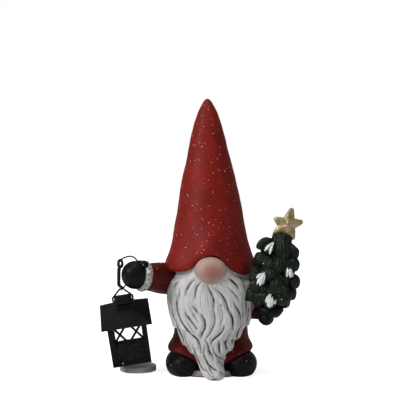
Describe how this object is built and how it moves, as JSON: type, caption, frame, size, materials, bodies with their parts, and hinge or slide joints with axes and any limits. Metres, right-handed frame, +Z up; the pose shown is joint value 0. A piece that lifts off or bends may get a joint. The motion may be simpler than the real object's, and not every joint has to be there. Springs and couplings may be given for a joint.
{
  "type": "garden gnome",
  "caption": "Bearded garden gnome in a tall pointed hat holding a hanging lantern and a small fir tree with a star, above a loose round disc.",
  "frame": {"origin": "centre of the base plate's underside, on the floor", "axes": "+Z up through the hat, -Y the front that the nose faces, +X towards the arm with the tree"},
  "size_m": [0.2102, 0.1107, 0.2885],
  "materials": {
    "base_paint": "matt painted casting",
    "coat_paint": "satin painted casting",
    "hat_paint": "painted casting with glitter",
    "skin_paint": "satin painted casting",
    "beard_paint": "painted casting, dark wash in grooves",
    "fur_paint": "pitted painted casting",
    "black_paint": "satin painted casting",
    "tree_paint": "gloss painted casting, white tips",
    "gold_paint": "metallic paint",
    "steel_rod": "plain wire rod",
    "lantern_metal": "satin black",
    "rivet_metal": "bright",
    "wire_metal": "black wire",
    "pane_plastic": "clear sheet",
    "stone_cast": "unpainted casting, matt"
  },
  "bodies": {
    "figure": {"base_plate": "base_paint", "arm_rod": "steel_rod", "body_shell": "coat_paint", "nose": "skin_paint", "hat_shell": "hat_paint", "sleeve_right": "coat_paint", "mitten_right": "black_paint", "cuff_right": "fur_paint", "mitten_left": "black_paint", "sleeve_left": "coat_paint", "star": "gold_paint", "tree": "tree_paint", "beard": "beard_paint", "boot_left": "black_paint", "boot_right": "black_paint"},
    "hanger": {"hanger": "wire_metal"},
    "bail": {"bail": "wire_metal"},
    "lantern": {"lantern_floor": "lantern_metal", "side_front": "lantern_metal", "side_right": "lantern_metal", "side_back": "lantern_metal", "side_left": "lantern_metal", "pane_front": "pane_plastic", "pane_right": "pane_plastic", "pane_back": "pane_plastic", "pane_left": "pane_plastic", "roof": "lantern_metal", "chimney": "lantern_metal", "hood": "lantern_metal", "rivet": "rivet_metal"},
    "disc": {"foot_disc": "stone_cast"}
  },
  "joints": [
    {"name": "hanger_turn", "type": "hinge", "parent": "figure", "child": "hanger", "pos_m": [-0.0885, -0.048, 0.0912], "axis": [0.4339, 0, 0.901], "range_deg": [-20, 20]},
    {"name": "bail_swing", "type": "hinge", "parent": "hanger", "child": "bail", "pos_m": [-0.09111, -0.04687, 0.08875], "axis": [-0.145, 0.9052, 0.3994], "range_deg": [-8, 8]},
    {"name": "lantern_tilt", "type": "hinge", "parent": "bail", "child": "lantern", "pos_m": [-0.08998, -0.04177, 0.07761], "axis": [0.9852, 0.0949, 0.1426], "range_deg": [-35, 6]},
    {"name": "disc_slide", "type": "slide", "parent": "figure", "child": "disc", "axis": [0, -1, 0], "range_m": [0, 0.06]}
  ]
}
